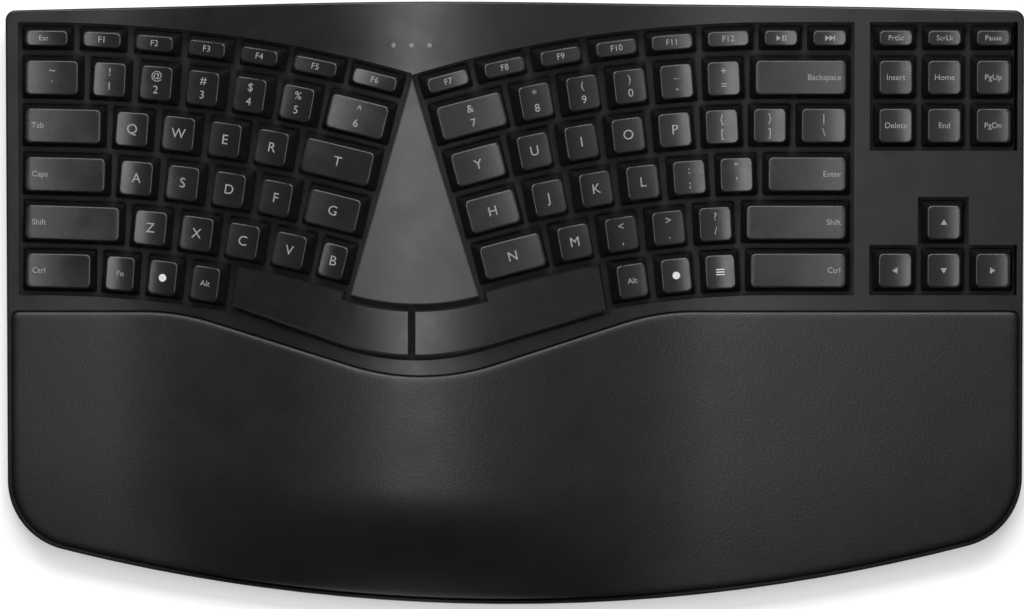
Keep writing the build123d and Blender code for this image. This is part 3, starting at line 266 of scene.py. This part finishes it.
case_mat = grained("case_plastic", 0.011, 0.30, 0.36)
key_mat = grained("key_plastic", 0.013, 0.26, 0.50, 2600.0, 0.00003)
space_mat = grained("space_bar_plastic", 0.010, 0.28, 0.41, 2600.0, 0.00003)
# Painted highlight: the centre panel is the same dark plastic as the case, and its lighter grey stands in for
# the light it catches on the ridge
panel_painted_highlight_mat = grained("panel_plastic", 0.045, 0.42, 0.46, 2200.0, 0.00004)
deck_mat = grained("deck_plastic", 0.013, 0.55, 0.3)
switch_mat = grained("switch_plastic", 0.05, 0.45, 0.4)
receiver_mat = grained("receiver_plastic", 0.02, 0.4, 0.45)

pad_mat = material("palm_cushion", (0.0095, 0.0095, 0.0098), 0.4, 0.38)
tint(pad_mat, noise(pad_mat, 22.0, 5.0), (0.008, 0.008, 0.0082), (0.011, 0.011, 0.0113))
gloss(pad_mat, noise(pad_mat, 60.0, 3.0), 0.35, 0.44)
bump(pad_mat, pebbles(pad_mat, 1050.0), 0.3, 0.00012)
bump(pad_mat, noise(pad_mat, 2400.0, 3.0), 0.25, 0.00005)

rubber_mat = material("foot_rubber", (0.012, 0.012, 0.012), 0.75, 0.25)
tint(rubber_mat, noise(rubber_mat, 60.0), (0.010, 0.010, 0.010), (0.016, 0.016, 0.0155))
bump(rubber_mat, noise(rubber_mat, 1500.0), 0.4, 0.00008)

silicone_mat = material("silicone", (0.32, 0.33, 0.34), 0.5, 0.4)
tint(silicone_mat, noise(silicone_mat, 50.0), (0.28, 0.29, 0.30), (0.36, 0.37, 0.38))
bump(silicone_mat, noise(silicone_mat, 900.0), 0.2, 0.00004)

film_mat = material("film", (0.45, 0.48, 0.5), 0.25, 0.5)
tint(film_mat, noise(film_mat, 40.0), (0.40, 0.43, 0.45), (0.50, 0.53, 0.55))
gloss(film_mat, noise(film_mat, 120.0), 0.2, 0.32)

board_mat = material("board", (0.02, 0.12, 0.05), 0.35, 0.5)
tint(board_mat, noise(board_mat, 220.0, 2.0), (0.015, 0.10, 0.04), (0.03, 0.15, 0.065))
gloss(board_mat, noise(board_mat, 300.0), 0.28, 0.42)

steel_mat = material("steel_sheet", (0.5, 0.51, 0.52), 0.38, 0.5, 1.0)
tint(steel_mat, noise(steel_mat, 80.0, 6.0), (0.42, 0.43, 0.44), (0.58, 0.59, 0.6))
gloss(steel_mat, noise(steel_mat, 260.0, 3.0, 0.6, (1.0, 12.0, 1.0)), 0.28, 0.46)

spring_mat = material("spring_steel", (0.55, 0.54, 0.52), 0.28, 0.5, 1.0)
tint(spring_mat, noise(spring_mat, 150.0), (0.48, 0.47, 0.45), (0.62, 0.61, 0.59))
gloss(spring_mat, noise(spring_mat, 500.0), 0.22, 0.36)

screw_mat = material("screw_steel", (0.08, 0.08, 0.085), 0.38, 0.5, 1.0)
tint(screw_mat, noise(screw_mat, 400.0), (0.06, 0.06, 0.065), (0.11, 0.11, 0.115))
gloss(screw_mat, noise(screw_mat, 800.0), 0.3, 0.48)

cell_mat = material("cell_jacket", (0.03, 0.035, 0.045), 0.3, 0.5)
tint(cell_mat, noise(cell_mat, 30.0, 2.0), (0.025, 0.03, 0.04), (0.038, 0.043, 0.055))
gloss(cell_mat, noise(cell_mat, 200.0), 0.24, 0.38)

lens_mat = material("lens_plastic", (0.05, 0.052, 0.055), 0.16, 0.5)
tint(lens_mat, noise(lens_mat, 700.0, 2.0), (0.035, 0.037, 0.04), (0.07, 0.072, 0.075))
gloss(lens_mat, noise(lens_mat, 900.0), 0.12, 0.22)

legend_mat = material("legend_print", (0.30, 0.30, 0.31), 0.5, 0.4)
tint(legend_mat, noise(legend_mat, 900.0, 3.0), (0.25, 0.25, 0.26), (0.36, 0.36, 0.37))

symbol_mat = material("symbol_print", (0.75, 0.75, 0.76), 0.45, 0.4)
tint(symbol_mat, noise(symbol_mat, 900.0, 3.0), (0.68, 0.68, 0.69), (0.82, 0.82, 0.83))

node_materials = {
    "top_case": case_mat, "bottom_case": case_mat, "battery_door": case_mat,
    "rear_foot_left": case_mat, "rear_foot_right": case_mat, "centre_panel": panel_painted_highlight_mat,
    "indicator_lenses": lens_mat, "key_deck": deck_mat, "dome_sheet": silicone_mat,
    "membrane": film_mat, "backing_plate": steel_mat, "circuit_board": board_mat,
    "battery_contacts": spring_mat, "batteries": cell_mat, "power_switch": switch_mat,
    "usb_receiver": receiver_mat, "rubber_pads": rubber_mat, "case_screws": screw_mat,
    "space_left_stabiliser": spring_mat, "space_right_stabiliser": spring_mat, "palm_rest_pad": pad_mat,
    "space_left": space_mat, "space_right": space_mat}
for name, node in nodes.items():
    node.data.materials.clear()
    node.data.materials.append(node_materials.get(name, key_mat))


def piece(name, verts, faces, mat, body, smooth=True):
    """A mesh object in the row frame that rides on a body."""
    mesh = bpy.data.meshes.new(name)
    mesh.from_pydata([tuple(v) for v in verts], [], faces)
    mesh.validate()
    mesh.update()
    mesh.polygons.foreach_set("use_smooth", [smooth] * len(mesh.polygons))
    mesh.materials.append(mat)
    obj = bpy.data.objects.new(name, mesh)
    bpy.context.scene.collection.objects.link(obj)
    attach(obj, body)
    return obj


# Key caps: hollow, with dished tops, rounded edges and a guide post, or three under a wide cap

cap_rise = 4.5
cap_height = 8.0
side_draft = 2.0
end_draft = 1.8
base_corner = 1.0
top_corner = 2.2
dish_depth = 0.5
edge_round = 0.75
cap_roof = 1.8
cap_wall = 1.1
post_radius = 1.8
post_reach = 9.0
post_spacing = 10.0
three_post_width = 33.0
post_sides = 24
corner_steps = 6
side_steps = 8
wall_shares = (0.04, 0.5, 0.96)
round_degrees = (0, 20, 40, 60, 78, 90)
corner_closing = 0.8
top_scales = (0.92, 0.75, 0.5, 0.25)


def ring(half_x, half_y, corner):
    """Points of a rounded rectangle, anticlockwise, the same number for every size."""
    arcs = [(half_x - corner, -half_y + corner, -90.0), (half_x - corner, half_y - corner, 0.0),
            (-half_x + corner, half_y - corner, 90.0), (-half_x + corner, -half_y + corner, 180.0)]
    points = []
    for i, (cx, cy, start) in enumerate(arcs):
        for k in range(corner_steps + 1):
            a = math.radians(start + 90.0 * k / corner_steps)
            points.append((cx + corner * math.cos(a), cy + corner * math.sin(a)))
        nx, ny, nstart = arcs[(i + 1) % 4]
        a = math.radians(nstart)
        tx, ty = nx + corner * math.cos(a), ny + corner * math.sin(a)
        fx, fy = points[-1]
        for k in range(1, side_steps):
            points.append((fx + (tx - fx) * k / side_steps, fy + (ty - fy) * k / side_steps))
    return points


def dish(x, half_x):
    """Height of a dished top at x."""
    bend = (half_x ** 2 + dish_depth ** 2) / (2 * dish_depth)
    return cap_rise - dish_depth + bend - math.sqrt(bend ** 2 - min(abs(x), half_x) ** 2)


def cap_mesh(width, depth):
    """Vertices and faces of one cap in its own frame, in millimetres.

    The skin is one run of rings: from the roof inside down the inner wall, round the rim, up the outer wall,
    over the rounded edge and in to the middle of the dished top.
    """
    top_x = width / 2 - side_draft
    top_y = depth / 2 - end_draft
    base = cap_rise - cap_height
    flare = edge_round / cap_height
    roof = cap_rise - cap_roof
    roof_share = cap_roof / cap_height
    rings = [[(x, y, roof) for x, y in ring(top_x - cap_wall + side_draft * roof_share,
                                            top_y - cap_wall + end_draft * roof_share, base_corner / 2)],
             [(x, y, base) for x, y in ring(width / 2 - cap_wall, depth / 2 - cap_wall, base_corner / 2)],
             [(x, y, base) for x, y in ring(width / 2, depth / 2, base_corner)]]
    for share in wall_shares:
        height = base + (cap_height - edge_round) * share
        inset = share * (1 - flare)
        corner = base_corner + (top_corner - base_corner) * share
        loop = ring(width / 2 - side_draft * inset, depth / 2 - end_draft * inset, corner)
        rings.append([(x, y, height + (dish(x, top_x) - cap_rise) * share) for x, y in loop])
    for degrees in round_degrees:
        a = math.radians(degrees)
        inset = edge_round * (1 - math.cos(a))
        drop = edge_round * (1 - math.sin(a))
        loop = ring(top_x + side_draft * flare - inset, top_y + end_draft * flare - inset,
                    top_corner - inset * corner_closing)
        rings.append([(x, y, dish(x, top_x) - drop) for x, y in loop])
    inner = rings[-1]
    for scale in top_scales:
        rings.append([(x * scale, y * scale, dish(x * scale, top_x)) for x, y, _ in inner])
    verts = [p for r in rings for p in r]
    n = len(rings[0])
    faces = [tuple(reversed(range(n)))]
    for k in range(len(rings) - 1):
        for i in range(n):
            j = (i + 1) % n
            faces.append((k * n + i, k * n + j, (k + 1) * n + j, (k + 1) * n + i))
    verts.append((0.0, 0.0, dish(0.0, top_x)))
    last = (len(rings) - 1) * n
    faces += [(last + i, last + (i + 1) % n, len(verts) - 1) for i in range(n)]
    spots = [0.0] if width + cap_gap < three_post_width else [-post_spacing, 0.0, post_spacing]
    for spot in spots:
        first = len(verts)
        upper = first + post_sides
        for z in (-post_reach, roof + dish_depth / 2):
            for k in range(post_sides):
                a = 2 * math.pi * k / post_sides
                verts.append((spot + post_radius * math.cos(a), post_radius * math.sin(a), z))
        faces.append(tuple(first + k for k in reversed(range(post_sides))))
        faces.append(tuple(upper + k for k in range(post_sides)))
        for k in range(post_sides):
            j = (k + 1) % post_sides
            faces.append((first + k, first + j, upper + j, upper + k))
    return verts, faces


# Legends: generic letters, digits, key names and symbols, in millimetres

letter_size = 5.4
function_size = 3.4
word_size = 3.2
short_word_size = 2.9
short_cap = 12.0
side_margin = 2.0
escape_margin = 5.0
text_margin = 0.9
pair_size = 4.4
pair_upper_y = 2.9
pair_lower_y = -2.7
print_lift = 0.03
dot_radius = 1.5
dot_turn = 20

shifted = {"grave": ("~", "`"), "1": ("!", "1"), "2": ("@", "2"), "3": ("#", "3"), "4": ("$", "4"),
           "5": ("%", "5"), "6": ("^", "6"), "7": ("&", "7"), "8": ("*", "8"), "9": ("(", "9"),
           "0": (")", "0"), "minus": ("_", "-"), "equals": ("+", "="), "bracket_left": ("{", "["),
           "bracket_right": ("}", "]"), "backslash": ("|", "\\"), "semicolon": (":", ";"),
           "quote": ("\"", "'"), "comma": ("<", ","), "period": (">", "."), "slash": ("?", "/")}
words = {"esc": "Esc", "tab": "Tab", "caps": "Caps", "shift_left": "Shift", "ctrl_left": "Ctrl", "fn": "Fn",
         "alt_left": "Alt", "alt_right": "Alt", "ctrl_right": "Ctrl", "shift_right": "Shift",
         "enter": "Enter", "backspace": "Backspace", "print": "PrtSc", "scroll": "ScrLk",
         "pause": "Pause", "insert": "Insert", "home": "Home", "page_up": "PgUp", "delete": "Delete",
         "end": "End", "page_down": "PgDn"}


def bar(left, right, low, high):
    """Outline of an upright rectangle."""
    return [(left, low), (right, low), (right, high), (left, high)]


dot = [(dot_radius * math.cos(math.radians(dot_turn * k)), dot_radius * math.sin(math.radians(dot_turn * k)))
       for k in range(360 // dot_turn)]
shapes = {
    "arrow_up": [[(-1.3, -0.9), (1.3, -0.9), (0.0, 1.2)]],
    "arrow_down": [[(-1.3, 0.9), (0.0, -1.2), (1.3, 0.9)]],
    "arrow_left": [[(0.9, -1.3), (0.9, 1.3), (-1.2, 0.0)]],
    "arrow_right": [[(-0.9, -1.3), (1.2, 0.0), (-0.9, 1.3)]],
    "menu": [bar(-1.6, 1.6, 0.8, 1.2), bar(-1.6, 1.6, -0.2, 0.2), bar(-1.6, 1.6, -1.2, -0.8)],
    "media_left": [[(-1.8, -1.1), (-0.1, 0.0), (-1.8, 1.1)], bar(0.5, 1.0, -1.1, 1.1),
                   bar(1.5, 2.0, -1.1, 1.1)],
    "media_right": [[(-1.8, -1.1), (-0.1, 0.0), (-1.8, 1.1)], [(-0.1, -1.1), (1.6, 0.0), (-0.1, 1.1)],
                    bar(1.6, 2.0, -1.1, 1.1)],
    "system_left": [dot],
    "system_right": [dot],
}
bright_legends = {"system_left", "system_right", "menu"}
left_words = {"tab", "caps", "shift_left", "ctrl_left", "esc"}
right_words = {"ctrl_right", "shift_right", "enter", "backspace"}
text_cache = {}


def glyphs(text, size, align):
    """Flat mesh of a text, as verts and faces in millimetres."""
    key = (text, size, align)
    if key not in text_cache:
        curve = bpy.data.curves.new("text", "FONT")
        curve.body = text
        curve.size = size
        curve.align_x = align
        curve.align_y = "CENTER"
        curve.resolution_u = 4
        obj = bpy.data.objects.new("text", curve)
        bpy.context.scene.collection.objects.link(obj)
        bpy.context.view_layer.update()
        mesh = bpy.data.meshes.new_from_object(obj.evaluated_get(bpy.context.evaluated_depsgraph_get()))
        text_cache[key] = ([tuple(v.co) for v in mesh.vertices], [tuple(f.vertices) for f in mesh.polygons])
        bpy.data.objects.remove(obj)
        bpy.data.curves.remove(curve)
        bpy.data.meshes.remove(mesh)
    return text_cache[key]


def legend_parts(name, width, depth):
    """Flat pieces of a key's legend in the key's frame."""
    top_x = width / 2 - side_draft
    parts = []
    if name in shapes:
        for shape in shapes[name]:
            parts.append(([(x, y, 0.0) for x, y in shape], [tuple(range(len(shape)))]))
    elif name in shifted:
        upper, lower = shifted[name]
        for text, y in ((upper, pair_upper_y), (lower, pair_lower_y)):
            verts, faces = glyphs(text, pair_size, "CENTER")
            parts.append(([(x, y + dy, 0.0) for x, dy, _ in verts], faces))
    elif name in words:
        size = word_size if depth > short_cap else short_word_size
        align = "LEFT" if name in left_words else "RIGHT" if name in right_words else "CENTER"
        margin = escape_margin if name == "esc" else side_margin
        shift = {"LEFT": margin - top_x, "RIGHT": top_x - margin, "CENTER": 0.0}[align]
        verts, faces = glyphs(words[name], size, align)
        if align == "CENTER":
            reach = max(abs(v[0]) for v in verts)
            shrink = min(1.0, (top_x - text_margin) / reach)
            verts = [(x * shrink, y * shrink, z) for x, y, z in verts]
        parts.append(([(x + shift, y, 0.0) for x, y, _ in verts], faces))
    else:
        size = function_size if depth < short_cap else letter_size
        parts.append(glyphs(name.upper(), size, "CENTER"))
    return parts


# Caps and legends of each key node

caps_done = {}
for node_name, members in key_nodes.items():
    middle_x = sum(cells[m][0] for m in members) / len(members)
    middle_y = sum(cells[m][1] for m in members) / len(members)
    verts, faces = [], []
    print_verts, print_faces = [], []
    for m in members:
        x, y, turn, width, depth = cells[m]
        place = seat(x, y, turn, middle_x, middle_y)
        size = (round(width, 2), depth)
        if size not in caps_done:
            caps_done[size] = cap_mesh(*size)
        cap_verts, cap_faces = caps_done[size]
        first = len(verts)
        verts += [place @ Vector(v) for v in cap_verts]
        faces += [tuple(first + i for i in f) for f in cap_faces]
        for part_verts, part_faces in legend_parts(m, width, depth):
            first = len(print_verts)
            print_verts += [place @ Vector((vx, vy, dish(vx, width / 2 - side_draft) + print_lift))
                            for vx, vy, _ in part_verts]
            print_faces += [tuple(first + i for i in f) for f in part_faces]
    caps = piece("caps_" + node_name, verts, faces, key_mat, node_name)
    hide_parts(node_name)
    print_mat = symbol_mat if members[0] in bright_legends else legend_mat
    piece("legends_" + node_name, print_verts, print_faces, print_mat, node_name, smooth=False)


# Palm rest cushion: follows the crown, with sides that round in to the bed

pad_eye = (-36.0, -70.0)
pad_thick = 2.58
pad_step = 1.6
pad_grid = 4.0
grid_clear = 0.6
pad_profile = [(0.0, 1.5), (0.15, 0.95), (0.5, 0.5), (1.0, 0.24), (1.7, 0.08), (2.6, 0.02), (3.6, 0.0)]
upright_z = 0.02
downward_z = -0.5
least_area = 1e-8


def outline_of(node, eye):
    """Plan outline of a node, in millimetres, sorted round a point inside it.

    The outline is where upright walls meet faces that look down.
    """
    mesh = nodes[node].data
    kinds = {}
    for f in mesh.polygons:
        under = f.normal.z < downward_z
        wall = abs(f.normal.z) < upright_z and f.area > least_area
        if under or wall:
            for i in f.vertices:
                point = tuple(round(c / MM, 3) for c in mesh.vertices[i].co)
                kinds.setdefault(point, set()).add("under" if under else "wall")
    points = {point[:2] for point, found in kinds.items() if len(found) == 2}
    return sorted(points, key=lambda p: math.atan2(p[1] - eye[1], p[0] - eye[0]))


def resample(loop, step):
    """The closed loop with points about a step apart, anticlockwise."""
    area = sum(a[0] * b[1] - b[0] * a[1] for a, b in zip(loop, loop[1:] + loop[:1]))
    if area < 0:
        loop = loop[::-1]
    lengths = [math.dist(a, b) for a, b in zip(loop, loop[1:] + loop[:1])]
    total = sum(lengths)
    count = int(total / step)
    out = []
    i, run = 0, 0.0
    for k in range(count):
        target = total * k / count
        while run + lengths[i] < target:
            run += lengths[i]
            i += 1
        share = (target - run) / lengths[i]
        a, b = loop[i], loop[(i + 1) % len(loop)]
        out.append((a[0] + (b[0] - a[0]) * share, a[1] + (b[1] - a[1]) * share))
    return out


def inset_loop(loop, amount):
    """The loop moved inward along its normals."""
    out = []
    n = len(loop)
    for i in range(n):
        ax, ay = loop[i - 2]
        bx, by = loop[(i + 2) % n]
        tx, ty = bx - ax, by - ay
        size = math.hypot(tx, ty)
        out.append((loop[i][0] - ty / size * amount, loop[i][1] + tx / size * amount))
    return out


def cushion(name, node, eye, thick, profile, step, grid, top, mat, body):
    """Closed form over a node's outline, with an edge profile of (inset, drop)."""
    outer = resample(outline_of(node, eye), step)
    n = len(outer)
    verts = []
    for inset, drop in [(0.0, thick)] + profile:
        for x, y in inset_loop(outer, inset):
            verts.append((x, y, top(x, y) - drop))
    rings_made = len(profile) + 1
    faces = []
    for k in range(rings_made - 1):
        for i in range(n):
            j = (i + 1) % n
            faces.append((k * n + i, k * n + j, (k + 1) * n + j, (k + 1) * n + i))
    last = (rings_made - 1) * n
    rim = [Vector((v[0], v[1])) for v in verts[last:]]
    low_x, high_x = min(p.x for p in rim), max(p.x for p in rim)
    low_y, high_y = min(p.y for p in rim), max(p.y for p in rim)
    inner = []
    clear = inset_loop([tuple(p) for p in rim], grid * grid_clear)
    y = low_y + grid / 2
    while y < high_y:
        crossings = []
        for a, b in zip(clear, clear[1:] + clear[:1]):
            if (a[1] > y) != (b[1] > y):
                crossings.append(a[0] + (b[0] - a[0]) * (y - a[1]) / (b[1] - a[1]))
        crossings.sort()
        x = low_x + grid / 2
        while x < high_x:
            if sum(1 for c in crossings if c < x) % 2:
                inner.append(Vector((x, y)))
            x += grid
        y += grid
    points = rim + inner
    out = delaunay_2d_cdt(points, [(i, (i + 1) % n) for i in range(n)], [], 1, 1e-5)
    flat_verts, flat_faces, origins = out[0], out[2], out[3]
    remap = []
    for i, v in enumerate(flat_verts):
        source = [o for o in origins[i] if o < n]
        if source:
            remap.append(last + source[0])
        else:
            remap.append(len(verts))
            verts.append((v.x, v.y, top(v.x, v.y) - profile[-1][1]))
    faces += [tuple(remap[i] for i in f) for f in flat_faces]
    under = {}
    for f in flat_faces:
        for i in f:
            if i not in under:
                source = remap[i]
                if last <= source < last + n:
                    under[i] = source - last
                else:
                    under[i] = len(verts)
                    verts.append((flat_verts[i].x, flat_verts[i].y,
                                  top(flat_verts[i].x, flat_verts[i].y) - thick))
    faces += [tuple(reversed([under[i] for i in f])) for f in flat_faces]
    return piece(name, [Vector(v) * MM for v in verts], faces, mat, body)


pad = cushion("palm_cushion", "palm_rest_pad", pad_eye, pad_thick, pad_profile, pad_step, pad_grid, crown,
              pad_mat, "case")
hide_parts("palm_rest_pad")


# Floor: pale, and white to the camera, in reflections and through glass

floor_size = 12.0
floor_glow = 0.45

bpy.ops.mesh.primitive_plane_add(size=floor_size, location=(0, 0, 0))
floor = bpy.context.object
floor.name = "floor"
floor_mat = bpy.data.materials.new("floor")
floor_mat.use_nodes = True
tree = floor_mat.node_tree
surface = tree.nodes["Principled BSDF"]
surface.inputs["Base Color"].default_value = (0.82, 0.82, 0.82, 1.0)
surface.inputs["Roughness"].default_value = 0.9
surface.inputs["Specular IOR Level"].default_value = 0.1
path = tree.nodes.new("ShaderNodeLightPath")
either = tree.nodes.new("ShaderNodeMath")
either.operation = "MAXIMUM"
tree.links.new(path.outputs["Is Camera Ray"], either.inputs[0])
tree.links.new(path.outputs["Is Glossy Ray"], either.inputs[1])
any_ray = tree.nodes.new("ShaderNodeMath")
any_ray.operation = "MAXIMUM"
tree.links.new(either.outputs[0], any_ray.inputs[0])
tree.links.new(path.outputs["Is Transmission Ray"], any_ray.inputs[1])
surface.inputs["Emission Color"].default_value = (1.0, 1.0, 1.0, 1.0)
lift = tree.nodes.new("ShaderNodeMath")
lift.operation = "MULTIPLY"
lift.inputs[1].default_value = floor_glow
tree.links.new(any_ray.outputs[0], lift.inputs[0])
tree.links.new(lift.outputs[0], surface.inputs["Emission Strength"])
floor.data.materials.append(floor_mat)


# Light: places in metres, power in watts

world = bpy.data.worlds.new("world")
bpy.context.scene.world = world
world.use_nodes = True
world.node_tree.nodes["Background"].inputs["Color"].default_value = (1.0, 1.0, 1.0, 1.0)
world.node_tree.nodes["Background"].inputs["Strength"].default_value = 0.03


def lamp(name, place, aim, size_x, size_y, power):
    """A soft rectangular lamp, aimed at a point."""
    data = bpy.data.lights.new(name, "AREA")
    data.shape = "RECTANGLE"
    data.size = size_x
    data.size_y = size_y
    data.energy = power
    obj = bpy.data.objects.new(name, data)
    bpy.context.scene.collection.objects.link(obj)
    obj.location = place
    obj.rotation_mode = "QUATERNION"
    obj.rotation_quaternion = (Vector(aim) - Vector(place)).to_track_quat("-Z", "Y")
    obj.visible_camera = False


lamp("over_light", (-0.04, 0.03, 0.8), (-0.04, 0.03, 0.0), 0.25, 0.45, 1.95)
lamp("back_light", (-0.04, 0.8, 1.1), (-0.04, 0.0, 0.0), 1.2, 0.5, 16.0)
lamp("right_light", (0.3, 0.05, 0.8), (0.2, 0.05, 0.0), 0.3, 0.5, 0.22)


# Camera: straight above, with a long lens. The photograph is 1024 pixels wide, and its middle lies a little
# off the middle of the keyboard.

px_per_mm = 2.5475
picture_width = 1024.0 / px_per_mm * MM
off_x_px = -2.9
off_y_px = 0.4
lens = 200.0
sensor_width = 36.0
focus_height = 0.022
camera_data = bpy.data.cameras.new("camera")
camera_data.lens = lens
camera_data.sensor_width = sensor_width
camera_data.clip_end = 50.0
camera = bpy.data.objects.new("camera", camera_data)
bpy.context.scene.collection.objects.link(camera)
camera.location = (off_x_px / px_per_mm * MM, off_y_px / px_per_mm * MM,
                   focus_height + picture_width * lens / sensor_width)
camera.rotation_euler = (0.0, 0.0, 0.0)
bpy.context.scene.camera = camera

bpy.context.scene.view_settings.view_transform = "Standard"
